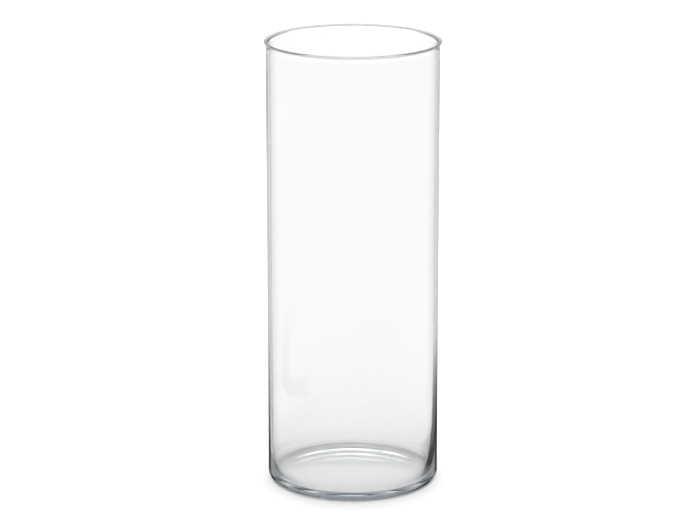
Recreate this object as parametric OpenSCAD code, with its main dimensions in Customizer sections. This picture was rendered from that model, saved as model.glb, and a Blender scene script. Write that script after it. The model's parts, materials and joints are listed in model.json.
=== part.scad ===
// Glass cylinder vase: a straight, thin-walled cylinder with a closed, thicker base and an open mouth
// whose lip ends in a rounded bead. Millimetres, +Z up, origin at the middle of the face it stands on.

/* [Vase] */
// Overall height, from the standing face to the top of the lip
height = 266.7; // [150:0.1:400]
// Outer diameter of the straight wall
outer_d = 101.6; // [80:0.1:200]
// Thickness of the straight wall
wall_t = 1.4; // [1:0.1:3]

/* [Base] */
// Height at which the thick base ends and the wall has come down to its own thickness
base_h = 30; // [20:1:60]
// Thickness of the floor outside the push-up
floor_t = 4.5; // [3:0.1:8]
// Radius of the rounded heel
heel_r = 4; // [2:0.1:6]
// Width of the flat ring that the vase stands on
foot_w = 6; // [3:0.5:12]
// Height of the shallow push-up under the floor
pushup_h = 1.2; // [0.5:0.1:2]
// Radius of the rounded corner between the floor and the wall, inside
corner_r = 7; // [4:0.5:10]
// Extra thickness of the wall just above that corner
wall_swell = 1.2; // [0.2:0.1:3]

/* [Rim] */
// Height of the lip, from the end of the straight wall to the top
rim_h = 4; // [3:0.1:10]
// Diameter of the bead's round section
bead_d = 2; // [1.6:0.1:4]
// How far the lip leans outward at the bead
flare = 0.5; // [0:0.1:1]

/* [Hidden] */
// Number of segments in a full circle
$fn = 192;
// The push-up's arc is very large, so it takes more segments
pushup_fn = 1440;
outer_r = outer_d / 2;
inner_r = outer_r - wall_t;
rim_z = height - rim_h;
foot_outer_r = outer_r - heel_r;
foot_inner_r = foot_outer_r - foot_w;
// Radius of the sphere whose cap is the push-up
pushup_r = (foot_inner_r ^ 2 + pushup_h ^ 2) / (2 * pushup_h);
// The inside corner's round is centred here
corner_axis_r = inner_r - wall_swell - corner_r;
corner_z = floor_t + corner_r;
bead_r = bead_d / 2;
bead_z = height - bead_r;
// The bead hangs outward: its inner side lies flush with the leaning lip
bead_axis_r = inner_r + flare + bead_r;
glass_tint = [0.88, 0.93, 0.94, 0.4];

// Outer section of the base: a straight side, a rounded heel and a flat underside
module base_outside() {
    translate([0, heel_r])
        square([outer_r, base_h - heel_r]);
    square([foot_outer_r, heel_r]);
    translate([foot_outer_r, heel_r])
        circle(r = heel_r);
}

// Section of the space inside the base: a flat floor, a rounded corner and a slightly leaning side
module base_inside() {
    translate([0, floor_t])
        square([corner_axis_r, base_h - floor_t]);
    translate([corner_axis_r, corner_z])
        circle(r = corner_r);
    polygon([
        [corner_axis_r, corner_z],
        [corner_axis_r + corner_r, corner_z],
        [inner_r, base_h],
        [corner_axis_r, base_h]
    ]);
}

// Section of the shallow push-up under the floor
module pushup() {
    translate([0, pushup_h - pushup_r])
        circle(r = pushup_r, $fn = pushup_fn);
}

// Keeps the half of a section that is on the positive side of the axis
module right_half() {
    intersection() {
        children();
        translate([0, -heel_r])
            square([outer_r, base_h + 2 * heel_r]);
    }
}

// Closed bottom of the vase: floor, heel and the thick low part of the wall
module base() {
    color(glass_tint)
        rotate_extrude()
            right_half()
                difference() {
                    base_outside();
                    base_inside();
                    pushup();
                }
}

// Straight wall between the base and the lip
module wall() {
    color(glass_tint)
        rotate_extrude()
            translate([inner_r, base_h])
                square([wall_t, rim_z - base_h]);
}

// Lip at the mouth: it leans slightly outward and ends in a fire-polished bead
module rim() {
    color(glass_tint)
        rotate_extrude() {
            polygon([
                [inner_r, rim_z],
                [outer_r, rim_z],
                [outer_r + flare, bead_z],
                [inner_r + flare, bead_z]
            ]);
            translate([bead_axis_r, bead_z])
                circle(r = bead_r);
        }
}

base();
wall();
rim();
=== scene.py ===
"""Looks of a clear glass cylinder vase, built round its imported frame.

The vase is one piece of glass, so one closed body stands for the frame's base, wall and rim.
Lengths are in metres, +Z is up, and the vase stands on the floor at z = 0.
"""

import json
import logging
import math
from dataclasses import dataclass, field
from enum import Enum
from typing import Any, Sequence

import bpy
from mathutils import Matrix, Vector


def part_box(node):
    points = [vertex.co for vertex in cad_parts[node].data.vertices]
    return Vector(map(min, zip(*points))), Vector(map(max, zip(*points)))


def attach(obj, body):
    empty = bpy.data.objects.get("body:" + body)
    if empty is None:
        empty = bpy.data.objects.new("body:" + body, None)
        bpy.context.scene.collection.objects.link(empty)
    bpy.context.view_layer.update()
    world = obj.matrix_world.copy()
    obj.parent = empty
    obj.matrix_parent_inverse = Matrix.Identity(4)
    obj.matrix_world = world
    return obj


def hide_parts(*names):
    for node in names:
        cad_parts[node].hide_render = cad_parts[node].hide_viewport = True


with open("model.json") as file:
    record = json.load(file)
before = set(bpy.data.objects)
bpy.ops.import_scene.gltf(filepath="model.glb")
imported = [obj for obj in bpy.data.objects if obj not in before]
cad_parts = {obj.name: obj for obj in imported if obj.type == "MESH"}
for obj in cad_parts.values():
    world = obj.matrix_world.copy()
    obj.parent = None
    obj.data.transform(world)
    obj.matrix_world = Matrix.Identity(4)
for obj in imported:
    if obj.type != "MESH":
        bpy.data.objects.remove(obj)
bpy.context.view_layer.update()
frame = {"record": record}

LOG = logging.getLogger("vase")
MM = 0.001

Point = tuple[float, float]
Colour = tuple[float, float, float]
# Where a smooth step is 0 and where it is 1. The second may be the lower one.
Span = tuple[float, float]


class RayKind(Enum):
    """The kinds of light ray that a studio card can be hidden from."""

    CAMERA = "visible_camera"
    DIFFUSE = "visible_diffuse"
    SHADOW = "visible_shadow"


class Value:
    """A shader value that adds Math nodes when it is used in an expression."""

    def __init__(self, board: "Board", socket: bpy.types.NodeSocket) -> None:
        """Wraps an output socket.

        Args:
            board: The board that the socket's node is on.
            socket: The output socket.
        """
        self.board = board
        self.socket = socket

    def _maths(self, operation: str, first: Any, second: Any) -> "Value":
        """Adds one Math node.

        Args:
            operation: The Math node's operation.
            first: The first operand, a Value or a number.
            second: The second operand, a Value or a number.

        Returns:
            The node's result.
        """
        return self.board.add("ShaderNodeMath", {"operation": operation}, {0: first, 1: second})

    def __add__(self, other: Any) -> "Value":
        """Value + other."""
        return self._maths("ADD", self, other)

    __radd__ = __add__

    def __sub__(self, other: Any) -> "Value":
        """Value - other."""
        return self._maths("SUBTRACT", self, other)

    def __rsub__(self, other: Any) -> "Value":
        """Other - value."""
        return self._maths("SUBTRACT", other, self)

    def __mul__(self, other: Any) -> "Value":
        """Value * other."""
        return self._maths("MULTIPLY", self, other)

    __rmul__ = __mul__


class Board:
    """A node tree that shader expressions are laid out on."""

    def __init__(self, tree: bpy.types.NodeTree) -> None:
        """Clears a node tree.

        Args:
            tree: The tree of a material or of the world.
        """
        self.tree = tree
        tree.nodes.clear()

    def add(
        self,
        kind: str,
        settings: dict[str, Any] | None = None,
        sockets: dict[Any, Any] | None = None,
        output: str | int = 0,
    ) -> Value:
        """Adds one node.

        Args:
            kind: The node's type.
            settings: The node's own settings, set first.
            sockets: Input name or number to a number, a colour or a Value.
            output: Name or number of the output that is returned.

        Returns:
            The chosen output. Its node is at .socket.node.
        """
        node = self.tree.nodes.new(kind)
        for name, setting in (settings or {}).items():
            setattr(node, name, setting)
        for name, given in (sockets or {}).items():
            if isinstance(given, Value):
                self.tree.links.new(given.socket, node.inputs[name])
            else:
                node.inputs[name].default_value = given
        return Value(self, node.outputs[output]) if len(node.outputs) else Value(self, None)

    def mix(self, share: Value, first: Any, second: Any) -> Value:
        """Blends two colours.

        Args:
            share: Share of the second colour.
            first: The first colour, a Value or three numbers.
            second: The second colour, a Value or three numbers.

        Returns:
            The blend.
        """
        ends = [end if isinstance(end, Value) else (*end, 1.0) for end in (first, second)]
        return self.add("ShaderNodeMix", {"data_type": "RGBA"}, {0: share, 6: ends[0], 7: ends[1]}, 2)

    def step(self, value: Value, span: Span) -> Value:
        """Smooth step of a value.

        Args:
            value: The value to map.
            span: Where the step is 0, and where it is 1.

        Returns:
            A value from 0 to 1.
        """
        start, end = span
        settings = {"interpolation_type": "SMOOTHSTEP"}
        return self.add("ShaderNodeMapRange", settings, {"Value": value, 1: start, 2: end, 3: 0.0, 4: 1.0})


def arc(centre: Point, radius: float, start: float, end: float, count: int) -> list[Point]:
    """Points along a round stretch of a section.

    Args:
        centre: Centre of the arc, as distance from the axis and height.
        radius: Radius of the arc.
        start: Start angle in degrees, from level and outward.
        end: End angle in degrees.
        count: Number of points, both ends included.

    Returns:
        The points in order.
    """
    angles = [math.radians(start + (end - start) * i / (count - 1)) for i in range(count)]
    return [(centre[0] + radius * math.cos(a), centre[1] + radius * math.sin(a)) for a in angles]


def bend(a: Point, b: Point, c: Point, d: Point, count: int) -> list[Point]:
    """Points along a smooth bend, a cubic curve.

    Args:
        a: Start of the bend.
        b: Handle of the start.
        c: Handle of the end.
        d: End of the bend.
        count: Number of points, both ends included.

    Returns:
        The points in order.
    """
    points = []
    for i in range(count):
        t = i / (count - 1)
        s = 1 - t
        weights = (s * s * s, 3 * s * s * t, 3 * s * t * t, t * t * t)
        points.append(tuple(sum(w * p[k] for w, p in zip(weights, (a, b, c, d))) for k in (0, 1)))
    return points


def straight(a: Point, b: Point, count: int) -> list[Point]:
    """Points along a straight stretch.

    Args:
        a: Start point.
        b: End point.
        count: Number of points, both ends included.

    Returns:
        The points in order.
    """
    return [tuple(a[k] + (b[k] - a[k]) * i / (count - 1) for k in (0, 1)) for i in range(count)]


@dataclass(frozen=True)
class Lie:
    """How the glass lies at a place, as shader values."""

    place: Value
    height: Value
    slant: Value
    tilt: Value
    upright: Value
    lip: Value
    painted_edge_shaded: Value


@dataclass(frozen=True)
class ClearGlass:
    """Colourless soda-lime glass, cool grey where light goes a long way through it. It also carries
    painted shade: grey where upright glass is seen edge on, almost black along the silhouette, round the
    heel and in the inside corner, and a pale grey on the bead.

    Slant is 0 where the glass is seen straight and 1 where it is seen edge on. Tilt is 0 on upright glass
    and 1 on level glass.
    """

    ior: float = 1.5
    tint: Colour = (0.20, 0.27, 0.33)
    tint_density: float = 12.0
    level: Colour = (0.995, 0.996, 0.997)
    face_on: Colour = (0.957, 0.956, 0.956)
    # Painted shade: upright glass turns grey where it is seen edge on.
    painted_slant_shade: Colour = (0.60, 0.61, 0.63)
    painted_slant_shade_from: Span = (0.5, 0.86)
    level_tilt: Span = (0.45, 0.92)
    level_up_to: Span = (262 * MM, 255 * MM)
    lip_from: Span = (261.5 * MM, 263.5 * MM)
    # Painted shade: a pale grey mixed onto the top of the bead.
    painted_bead_grey: Colour = (0.56, 0.57, 0.59)
    painted_bead_grey_share: float = 0.28
    painted_bead_grey_from: Span = (264.9 * MM, 265.3 * MM)
    # Painted shade: almost black, mixed in along the silhouette, stronger low down.
    painted_edge_shade: Colour = (0.02, 0.023, 0.028)
    painted_edge_shade_roughness: float = 0.4
    painted_edge_shade_slant: Span = (0.74, 0.82)
    painted_edge_shade_high: float = 0.36
    painted_edge_shade_low: float = 0.92
    painted_edge_shade_low_below: Span = (110 * MM, 20 * MM)
    outer_face_only_from: Span = (110 * MM, 150 * MM)
    # Painted shade round the heel, broken up by noise.
    painted_heel_shade_below: Span = (5.8 * MM, 3.2 * MM)
    painted_heel_shade_slant: float = 0.17
    painted_streak_scale: float = 38.0
    painted_streak_span: Span = (0.58, 0.46)
    painted_streak_depth: float = 0.8
    # Painted shade in the inside corner: a dark line where it is seen edge on, and a little everywhere
    # else, which dims its glints.
    painted_corner_shade_from: Span = (4.2 * MM, 4.7 * MM)
    painted_corner_shade_tilt_from: Span = (0.25, 0.45)
    painted_corner_shade_tilt_to: Span = (0.98, 0.9)
    painted_corner_shade_slant: Span = (0.5, 0.72)
    painted_corner_shade_least: float = 0.08
    painted_corner_shade_line: float = 0.74
    scuff: float = 0.32
    scuff_height: float = 0.35 * MM
    scuff_scale: float = 900.0
    scuff_span: Span = (0.42, 0.7)
    ripple_height: float = 0.008 * MM
    ripple_scale: float = 46.0
    ripple_length: float = 0.22

    def make(self) -> bpy.types.Material:
        """Builds the material.

        Returns:
            The glass material.
        """
        material = bpy.data.materials.new("clear_glass")
        material.use_nodes = True
        board = Board(material.node_tree)
        lie = self._lie(board)
        shaders = {0: self._painted_shade_share(board, lie), 1: self._clear(board, lie), 2: self._painted_shade(board, lie)}
        surface = board.add("ShaderNodeMixShader", None, shaders)
        tint = board.add(
            "ShaderNodeVolumeAbsorption", None, {"Color": (*self.tint, 1.0), "Density": self.tint_density}
        )
        board.add("ShaderNodeOutputMaterial", None, {"Surface": surface, "Volume": tint})
        return material

    def _lie(self, board: Board) -> Lie:
        """Reads how the glass lies.

        Args:
            board: The material's board.

        Returns:
            The shader values. The painted edge shade mask is 0 on the lip and on the inner side of the
            glass high up.
        """
        place = board.add("ShaderNodeTexCoord", output="Object")
        height = board.add("ShaderNodeSeparateXYZ", None, {0: place}, "Z")
        slant = board.add("ShaderNodeLayerWeight", None, {"Blend": 0.5}, "Facing")
        facing = board.add("ShaderNodeNewGeometry", output="Normal")
        inner_side = board.add("ShaderNodeNewGeometry", output="Backfacing")
        level = board.add("ShaderNodeSeparateXYZ", None, {0: facing}, "Z")
        tilt = level * level
        lip = board.step(height, self.lip_from)
        return Lie(
            place=place,
            height=height,
            slant=slant,
            tilt=tilt,
            upright=1 - board.step(tilt, self.level_tilt) * board.step(height, self.level_up_to),
            lip=lip,
            # Where painted shade may go: not on the lip, nor on the inner side high up.
            painted_edge_shaded=(1 - lip) * (1 - inner_side * board.step(height, self.outer_face_only_from)),
        )

    def _clear(self, board: Board, lie: Lie) -> Value:
        """Builds the clear glass, with a painted grey shade where upright glass is seen edge on.

        Args:
            board: The material's board.
            lie: How the glass lies.

        Returns:
            The shader.
        """
        walls = board.mix(lie.upright * (1 - lie.lip), self.level, self.face_on)
        # Painted shade: grey where upright glass is seen edge on.
        painted_slant_share = board.step(lie.slant, self.painted_slant_shade_from) * lie.upright * lie.painted_edge_shaded
        sockets = {
            "Base Color": board.mix(painted_slant_share, walls, self.painted_slant_shade),
            "Roughness": self._scuffs(board, lie),
            "IOR": self.ior,
            "Transmission Weight": 1.0,
            "Normal": self._ripple(board, lie),
        }
        return board.add("ShaderNodeBsdfPrincipled", None, sockets)

    def _painted_shade(self, board: Board, lie: Lie) -> Value:
        """Builds the painted shade: almost black along the silhouette, and a pale grey on the bead.

        Args:
            board: The material's board.
            lie: How the glass lies.

        Returns:
            The shader.
        """
        sockets = {
            "Base Color": board.mix(lie.lip, self.painted_edge_shade, self.painted_bead_grey),
            "Roughness": self.painted_edge_shade_roughness,
            "Specular IOR Level": 0.0,
        }
        return board.add("ShaderNodeBsdfPrincipled", None, sockets)

    def _painted_shade_share(self, board: Board, lie: Lie) -> Value:
        """Share of the painted shade: along the silhouette, in a streaked band round the heel, in the
        inside corner, and as a grey on the top of the bead.

        Args:
            board: The material's board.
            lie: How the glass lies.

        Returns:
            A value from 0 to 1.
        """
        # Painted shade along the silhouette, stronger low down.
        low = board.step(lie.height, self.painted_edge_shade_low_below)
        strength = low * (self.painted_edge_shade_low - self.painted_edge_shade_high) + self.painted_edge_shade_high
        # Painted shade round the heel, broken up by noise.
        heel = board.step(lie.height, self.painted_heel_shade_below)
        painted_streaks = board.add(
            "ShaderNodeTexNoise",
            None,
            {"Vector": lie.place, "Scale": self.painted_streak_scale, "Detail": 1.0, "Roughness": 0.4},
        )
        fainter = heel * board.step(painted_streaks, self.painted_streak_span) * self.painted_streak_depth
        silhouette = board.step(lie.slant + heel * self.painted_heel_shade_slant, self.painted_edge_shade_slant)
        edge = silhouette * lie.upright * lie.painted_edge_shaded * strength * (1 - fainter)
        # Painted shade in the inside corner.
        corner = board.step(lie.height, self.painted_corner_shade_from) * board.step(lie.tilt, self.painted_corner_shade_tilt_from)
        corner = corner * board.step(lie.tilt, self.painted_corner_shade_tilt_to) * lie.painted_edge_shaded
        corner = corner * (board.step(lie.slant, self.painted_corner_shade_slant) * self.painted_corner_shade_line + self.painted_corner_shade_least)
        darker = board.add("ShaderNodeMath", {"operation": "MAXIMUM"}, {0: edge, 1: corner})
        # Painted shade: a pale grey on the top of the bead.
        return darker + board.step(lie.height, self.painted_bead_grey_from) * self.painted_bead_grey_share

    def _scuffs(self, board: Board, lie: Lie) -> Value:
        """Roughness: polished glass, with fine scuffs on the face that the vase stands on.

        Args:
            board: The material's board.
            lie: How the glass lies.

        Returns:
            The roughness.
        """
        grain = board.add(
            "ShaderNodeTexNoise",
            None,
            {"Vector": lie.place, "Scale": self.scuff_scale, "Detail": 4.0, "Roughness": 0.7},
        )
        on_foot = 1 - board.step(lie.height, (0.0, self.scuff_height))
        return on_foot * board.step(grain, self.scuff_span) * self.scuff

    def _ripple(self, board: Board, lie: Lie) -> Value:
        """Normal: the faint lengthwise ripple of drawn glass.

        Args:
            board: The material's board.
            lie: How the glass lies.

        Returns:
            The normal.
        """
        stretch = {0: lie.place, 1: (1.0, 1.0, self.ripple_length)}
        along = board.add("ShaderNodeVectorMath", {"operation": "MULTIPLY"}, stretch)
        ripple = board.add(
            "ShaderNodeTexNoise",
            None,
            {"Vector": along, "Scale": self.ripple_scale, "Detail": 2.0, "Roughness": 0.45},
        )
        return board.add(
            "ShaderNodeBump", None, {"Strength": 0.3, "Distance": self.ripple_height, "Height": ripple}
        )


@dataclass
class Unevenness:
    """How the inside of the glass strays from a true cylinder, round the vase.

    The glass settled thicker low down on the +X side, and a little on the -X side.
    """

    corner_height: float = 6.4 * MM
    corner_wall: float = 2.5 * MM
    fade: float = 4.5 * MM
    heavy_rise: float = 6.6 * MM
    heavy_wall: float = 0.25 * MM
    heavy_fade: float = 6.0 * MM
    heavy_narrowness: float = 8.0
    light_rise: float = 1.9 * MM
    light_narrowness: float = 5.0
    corner_waver: float = 0.42 * MM
    wall_ripple: float = 0.018 * MM
    floor_ripple: float = 0.12 * MM

    @staticmethod
    def lobe(angle: float, towards: float, narrowness: float) -> float:
        """Share of a one-sided swelling at an angle.

        Args:
            angle: Direction from the axis in radians.
            towards: Direction of the swelling's middle.
            narrowness: How sharply it falls off to both sides.

        Returns:
            The share, from 0 to 1.
        """
        return max(0.0, math.cos(angle - towards)) ** narrowness

    def corner(self, angle: float) -> tuple[float, float, float]:
        """The inside corner at an angle.

        Args:
            angle: Direction from the axis in radians.

        Returns:
            Height of the corner's top, thickness of the wall there, and the height in which that fades.
        """
        heavy = self.lobe(angle, 0.0, self.heavy_narrowness)
        light = self.lobe(angle, math.pi, self.light_narrowness)
        waver = self.corner_waver * (math.sin(3 * angle + 0.7) + 0.6 * math.sin(7 * angle + 2.0))
        height = self.corner_height + self.heavy_rise * heavy + self.light_rise * light + waver
        return height, self.corner_wall + self.heavy_wall * heavy, self.fade + self.heavy_fade * heavy

    def wall_wander(self, angle: float, height: float) -> float:
        """How far the inner wall strays outward from its true radius.

        Args:
            angle: Direction from the axis in radians.
            height: Height above the floor.

        Returns:
            The distance, negative towards the axis.
        """
        waves = (
            math.sin(3 * angle + 0.4 + height * 9)
            + 0.7 * math.sin(5 * angle + 1.9 - height * 21)
            + 0.4 * math.sin(9 * angle + height * 35)
        )
        return self.wall_ripple * waves

    def floor_wander(self, angle: float, reach: float) -> float:
        """How far the inner floor strays upward from its plane.

        Args:
            angle: Direction from the axis in radians.
            reach: Distance from the axis over the floor's radius, from 0 to 1.

        Returns:
            The height.
        """
        waves = math.sin(2 * angle + 0.8) + 0.6 * math.sin(5 * angle + 2.1) + 0.35 * math.sin(11 * angle)
        return self.floor_ripple * reach * reach * waves


@dataclass
class VaseGlass:
    """The whole vase: one closed body of glass, with its outer, inner and lip surfaces."""

    height: float
    outer_radius: float
    inner_radius: float
    lip_radius: float
    lip_start: float
    foot_radius: float
    foot_width: float = 6.0 * MM
    heel_radius: float = 4.0 * MM
    floor_thickness: float = 4.5 * MM
    pushup: float = 1.5 * MM
    bead_radius: float = 0.8 * MM
    swell_top: float = 62.0 * MM
    segments: int = 256
    underside_rings: int = 14
    foot_rings: int = 5
    heel_rings: int = 16
    outside_rings: int = 60
    bead_rings: int = 26
    neck_rings: int = 10
    throat_rings: int = 8
    upper_rings: int = 52
    lower_rings: int = 44
    corner_rings: int = 18
    floor_rings: int = 20
    uneven: Unevenness = field(default_factory=Unevenness)

    @classmethod
    def from_frame(cls, record: dict[str, Any]) -> "VaseGlass":
        """Reads the vase's sizes from the frame.

        Args:
            record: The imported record.

        Returns:
            The vase.
        """
        mounts = {mount["name"]: mount for mount in record["mounts"]}
        _, wall_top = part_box("wall")
        lip_low, lip_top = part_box("rim")
        return cls(
            height=lip_top.z,
            outer_radius=wall_top.x,
            inner_radius=mounts["mouth"]["dims"]["r_mm"] * MM,
            lip_radius=lip_top.x,
            lip_start=(lip_low.z + lip_top.z) / 2,
            foot_radius=mounts["standing_face"]["pos_m"][0],
        )

    def build(self, glass: ClearGlass) -> bpy.types.Object:
        """Builds and dresses the body, and ties it to the frame.

        Args:
            glass: The finish.

        Returns:
            The vase's object.
        """
        sections = [self._section(2 * math.pi * i / self.segments) for i in range(self.segments)]
        mesh = self._revolve(sections)
        mesh.materials.append(glass.make())
        body = bpy.data.objects.new("vase_glass", mesh)
        bpy.context.scene.collection.objects.link(body)
        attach(body, "root")
        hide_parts("base", "wall", "rim")
        return body

    def _section(self, angle: float) -> list[Point]:
        """Section of the glass at one angle, from the middle of the underside round to the floor's middle.

        Args:
            angle: Direction from the axis in radians.

        Returns:
            Points as distance from the axis and height, without the two on the axis.
        """
        return self._underside() + self._outside() + self._lip() + self._inside(angle) + self._floor(angle)

    def _underside(self) -> list[Point]:
        """Points from the push-up's middle out to the heel."""
        inner = self.foot_radius - self.foot_width / 2
        outer = self.foot_radius + self.foot_width / 2
        steps = [inner * (i / self.underside_rings) for i in range(1, self.underside_rings)]
        dome = [(r, self.pushup * (1 - (r / inner) ** 2)) for r in steps]
        return dome + straight((inner, 0.0), (outer - 1 * MM, 0.0), self.foot_rings)

    def _outside(self) -> list[Point]:
        """Points from the heel up to the end of the straight wall."""
        heel_axis = self.outer_radius - self.heel_radius
        heel = arc((heel_axis, self.heel_radius), self.heel_radius, -90, 0, self.heel_rings)
        foot = (self.outer_radius, self.heel_radius)
        wall = straight(foot, (self.outer_radius, self.lip_start), self.outside_rings)
        return heel + wall[1:]

    def _lip(self) -> list[Point]:
        """Points over the bead, from the outer wall to the inner wall."""
        axis = (self.lip_radius - self.bead_radius, self.height - self.bead_radius)
        bead = arc(axis, self.bead_radius, -70, 180, self.bead_rings)
        rise = bead[0][1] - self.lip_start
        neck = bend(
            (self.outer_radius, self.lip_start),
            (self.outer_radius, self.lip_start + 0.75 * rise),
            (bead[0][0] - 0.28 * MM, bead[0][1] - 0.1 * MM),
            bead[0],
            self.neck_rings,
        )
        fall = bead[-1][1] - self.lip_start
        throat = bend(
            bead[-1],
            (bead[-1][0], bead[-1][1] - 0.5 * fall),
            (self.inner_radius, self.lip_start + 0.4 * fall),
            (self.inner_radius, self.lip_start),
            self.throat_rings,
        )
        return neck[1:-1] + bead + throat[1:]

    def _inside(self, angle: float) -> list[Point]:
        """Points from the lip down the inner wall to the corner.

        Args:
            angle: Direction from the axis in radians.

        Returns:
            The points in order.
        """
        corner = self.uneven.corner(angle)[0]
        upper = straight((0, self.lip_start), (0, self.swell_top), self.upper_rings)[1:]
        lower = straight((0, self.swell_top), (0, corner), self.lower_rings)[1:]
        return [(self._inner_radius(angle, z), z) for _, z in upper + lower]

    def _inner_radius(self, angle: float, height: float) -> float:
        """Radius of the inner wall at one place.

        Args:
            angle: Direction from the axis in radians.
            height: Height above the standing face.

        Returns:
            The radius.
        """
        corner, thickest, fade = self.uneven.corner(angle)
        extra = thickest - (self.outer_radius - self.inner_radius)
        swell = extra * math.exp(-((height - corner) / fade))
        edge = min(1.0, (self.lip_start - height) / (20 * MM))
        return self.inner_radius - swell + edge * self.uneven.wall_wander(angle, height)

    def _floor(self, angle: float) -> list[Point]:
        """Points round the inside corner and over the floor, almost to its middle.

        Args:
            angle: Direction from the axis in radians.

        Returns:
            The points in order.
        """
        corner = self.uneven.corner(angle)[0]
        top = (self._inner_radius(angle, corner), corner)
        floor = self.floor_thickness + self.uneven.floor_wander(angle, 1.0)
        drop = corner - floor
        end = (top[0] - 0.05 * drop - 1.9 * MM, floor)
        handle = (top[0], corner - 0.78 * drop)
        round_part = bend(top, handle, (end[0] + 1.6 * MM, floor), end, self.corner_rings)
        steps = [end[0] * (1 - i / self.floor_rings) for i in range(1, self.floor_rings)]
        flat = [(r, self.floor_thickness + self.uneven.floor_wander(angle, r / end[0])) for r in steps]
        return round_part[1:] + flat

    def _revolve(self, sections: Sequence[Sequence[Point]]) -> bpy.types.Mesh:
        """Skins the sections into one closed mesh.

        Args:
            sections: One section for each angle, all with the same number of points.

        Returns:
            The mesh.
        """
        count = len(sections[0])
        turns = len(sections)
        vertices = []
        for i, section in enumerate(sections):
            angle = 2 * math.pi * i / turns
            vertices += [(r * math.cos(angle), r * math.sin(angle), z) for r, z in section]
        faces = []
        for i in range(turns):
            here = i * count
            there = (i + 1) % turns * count
            faces += [(here + k, there + k, there + k + 1, here + k + 1) for k in range(count - 1)]
        under_middle = len(vertices)
        floor_middle = under_middle + 1
        vertices += [(0.0, 0.0, self.pushup), (0.0, 0.0, self.floor_thickness)]
        for i in range(turns):
            here = i * count
            there = (i + 1) % turns * count
            faces.append((under_middle, there, here))
            faces.append((floor_middle, here + count - 1, there + count - 1))
        mesh = bpy.data.meshes.new("vase_glass")
        mesh.from_pydata(vertices, [], faces)
        mesh.validate()
        mesh.update()
        mesh.shade_smooth()
        return mesh


@dataclass
class Floor:
    """Pale, plain floor that the vase stands on, a little brighter where it is seen straight, with a
    painted shadow round the vase and painted light under it.
    """

    reach: float = 6.0
    gap: float = 0.05 * MM
    straight_and_painted_light_albedo: float = 0.96
    albedo: float = 0.72
    # Painted shadow: a darker ring on the floor round the vase, except where the camera sees it straight.
    painted_shadow_near_albedo: float = 0.67
    painted_shadow_near_within: Span = (72 * MM, 54 * MM)
    # Painted light under the vase: the brighter white for every ray, and a little emitted light.
    painted_light_under_vase_within: Span = (55 * MM, 43 * MM)
    painted_glow: float = 0.25
    painted_glow_within: Span = (46 * MM, 38 * MM)
    corners: int = 96

    def build(self) -> bpy.types.Object:
        """Builds the floor.

        Returns:
            The floor's object.
        """
        turn = [2 * math.pi * i / self.corners for i in range(self.corners)]
        mesh = bpy.data.meshes.new("floor")
        mesh.from_pydata(
            [(self.reach * math.cos(a), self.reach * math.sin(a), -self.gap) for a in turn],
            [],
            [tuple(range(self.corners))],
        )
        mesh.materials.append(self._finish())
        floor = bpy.data.objects.new("floor", mesh)
        bpy.context.scene.collection.objects.link(floor)
        return floor

    def _finish(self) -> bpy.types.Material:
        """Builds the floor's white, with a painted shadow in a ring round the vase and painted light under
        it, where the white is brighter and emits a little light.

        Returns:
            The material.
        """
        material = bpy.data.materials.new("white_board")
        material.use_nodes = True
        board = Board(material.node_tree)
        place = board.add("ShaderNodeTexCoord", output="Object")
        reach = board.add("ShaderNodeVectorMath", {"operation": "LENGTH"}, {0: place}, "Value")
        # Painted shadow: darker in a ring round the vase.
        painted_shadow_near = board.step(reach, self.painted_shadow_near_within)
        tone = board.mix(painted_shadow_near, (self.albedo,) * 3, (self.painted_shadow_near_albedo,) * 3)
        matt = board.add("ShaderNodeBsdfDiffuse", None, {"Color": tone})
        bright = board.add("ShaderNodeBsdfDiffuse", None, {"Color": (*(self.straight_and_painted_light_albedo,) * 3, 1.0)})
        seen = board.add("ShaderNodeLightPath", output="Is Camera Ray")
        # Painted light: the brighter white under the vase, for every ray.
        painted_light_under_vase = board.step(reach, self.painted_light_under_vase_within)
        share = board.add("ShaderNodeMath", {"operation": "MAXIMUM"}, {0: seen, 1: painted_light_under_vase})
        both = board.add("ShaderNodeMixShader", None, {0: share, 1: matt, 2: bright})
        # Painted light: a little emitted light under the vase.
        painted_glow = board.mix(board.step(reach, self.painted_glow_within), (0.0, 0.0, 0.0), (self.painted_glow,) * 3)
        lit = board.add("ShaderNodeEmission", None, {"Color": painted_glow, "Strength": 1.0})
        surface = board.add("ShaderNodeAddShader", None, {0: both, 1: lit})
        board.add("ShaderNodeOutputMaterial", None, {"Surface": surface})
        return material


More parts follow.
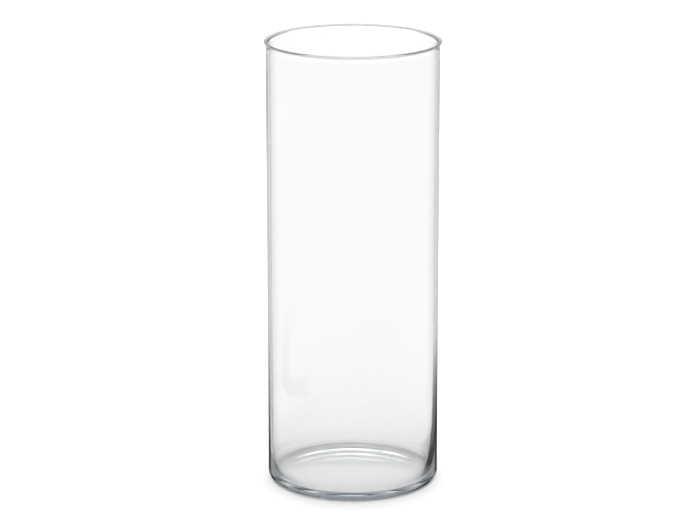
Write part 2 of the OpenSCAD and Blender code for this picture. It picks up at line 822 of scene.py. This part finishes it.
@dataclass
class Dome:
    """A white tent with a dim gap low down all round and its main light high at the back."""

    background: float = 1.12
    tent: float = 0.9
    gap: float = 0.42
    horizon: float = 1.07
    key: float = 1.38
    key_direction: tuple[float, float, float] = (0.0, 0.42, 0.907)
    gap_from: Span = (0.035, 0.075)
    gap_to: Span = (0.23, 0.14)
    horizon_to: Span = (0.055, 0.03)
    key_spread: Span = (0.45, 0.97)
    key_above: Span = (0.2, 0.34)

    def build(self) -> None:
        """Builds the world's light."""
        world = bpy.data.worlds.new("white_tent")
        bpy.context.scene.world = world
        world.use_nodes = True
        board = Board(world.node_tree)
        direction = board.add("ShaderNodeTexCoord", output="Generated")
        up = board.add("ShaderNodeSeparateXYZ", None, {0: direction}, "Z")
        towards = {0: direction, 1: self.key_direction}
        near_key = board.add("ShaderNodeVectorMath", {"operation": "DOT_PRODUCT"}, towards, "Value")
        open_part = board.step(up, self.gap_from) * board.step(up, self.gap_to)
        strength = open_part * (self.gap - self.tent) + self.tent
        strength = strength + board.step(up, self.horizon_to) * (self.horizon - self.tent)
        key = board.step(near_key, self.key_spread) * board.step(up, self.key_above) * self.key
        strength = strength + key
        white = (1.0, 1.0, 1.0, 1.0)
        light = board.add("ShaderNodeBackground", None, {"Color": white, "Strength": strength})
        plain = board.add("ShaderNodeBackground", None, {"Color": white, "Strength": self.background})
        seen = board.add("ShaderNodeLightPath", output="Is Camera Ray")
        both = board.add("ShaderNodeMixShader", None, {0: seen, 1: light, 2: plain})
        board.add("ShaderNodeOutputWorld", None, {"Surface": both})


@dataclass(frozen=True)
class DarkCard:
    """A dark card beside the vase, which only the glass sees: painted shade in what the glass shows. It is
    darkest low down and pales upward.
    """

    name: str
    corners: tuple[tuple[float, float, float], ...]
    low_tone: float
    high_tone: float

    def build(self) -> bpy.types.Object:
        """Builds the card.

        Returns:
            The card's object.
        """
        mesh = bpy.data.meshes.new(self.name)
        mesh.from_pydata(self.corners, [], [tuple(range(len(self.corners)))])
        mesh.materials.append(self._finish())
        card = bpy.data.objects.new(self.name, mesh)
        bpy.context.scene.collection.objects.link(card)
        for kind in (RayKind.CAMERA, RayKind.DIFFUSE, RayKind.SHADOW):
            setattr(card, kind.value, False)
        return card

    def _finish(self) -> bpy.types.Material:
        """Builds the card's grey.

        Returns:
            The material.
        """
        material = bpy.data.materials.new(self.name)
        material.use_nodes = True
        board = Board(material.node_tree)
        place = board.add("ShaderNodeTexCoord", output="Object")
        height = board.add("ShaderNodeSeparateXYZ", None, {0: place}, "Z")
        top = max(corner[2] for corner in self.corners) + MM
        tone = board.step(height, (0.0, top)) * (self.high_tone - self.low_tone) + self.low_tone
        grey = board.add("ShaderNodeEmission", None, {"Color": (1.0, 1.0, 1.0, 1.0), "Strength": tone})
        board.add("ShaderNodeOutputMaterial", None, {"Surface": grey})
        return material


@dataclass
class Viewpoint:
    """The camera: a long lens, a little above the vase and tilted down."""

    distance: float = 1.70
    height: float = 0.5971
    sideways: float = -0.0017
    tilt: float = 15.29
    lens: float = 152.8

    def build(self) -> bpy.types.Object:
        """Builds the camera and makes it the scene's.

        Returns:
            The camera's object.
        """
        data = bpy.data.cameras.new("camera")
        data.lens = self.lens
        data.sensor_width = 36.0
        data.clip_start = 0.05
        data.clip_end = 50.0
        camera = bpy.data.objects.new("camera", data)
        camera.location = (self.sideways, -self.distance, self.height)
        camera.rotation_euler = (math.radians(90 - self.tilt), 0.0, 0.0)
        bpy.context.scene.collection.objects.link(camera)
        bpy.context.scene.camera = camera
        return camera


# Painted shade beside the foot, which only the glass shows.
CARDS = (
    DarkCard(
        "standing_card",
        ((0.081, 0.101, 0.0), (0.125, 0.07, 0.0), (0.125, 0.07, 0.065), (0.081, 0.101, 0.065)),
        0.25,
        1.1,
    ),
    DarkCard(
        "lying_card",
        ((0.07, -0.01, 0.0005), (0.12, -0.01, 0.0005), (0.12, 0.1, 0.0005), (0.084, 0.1, 0.0005)),
        0.25,
        0.25,
    ),
)


def allow_long_paths(scene: bpy.types.Scene) -> None:
    """Lets light bounce along inside the glass as often as the thick foot needs.

    Args:
        scene: The scene.
    """
    scene.cycles.max_bounces = 28
    scene.cycles.glossy_bounces = 16
    scene.cycles.transmission_bounces = 20


def main() -> None:
    """Builds the vase, the studio and the camera."""
    logging.basicConfig(level=logging.INFO, format="%(name)s: %(message)s")
    camera = Viewpoint().build()
    LOG.info("%s has a %.0f mm lens", camera.name, camera.data.lens)
    vase = VaseGlass.from_frame(frame["record"]).build(ClearGlass())
    LOG.info("%s has %d faces", vase.name, len(vase.data.polygons))
    floor = Floor().build()
    LOG.info("%s reaches %.1f m", floor.name, floor.dimensions.x / 2)
    Dome().build()
    allow_long_paths(bpy.context.scene)
    for card in CARDS:
        LOG.info("%s is built", card.build().name)
    bpy.context.scene.view_settings.view_transform = "Standard"


if __name__ == "__main__":
    main()
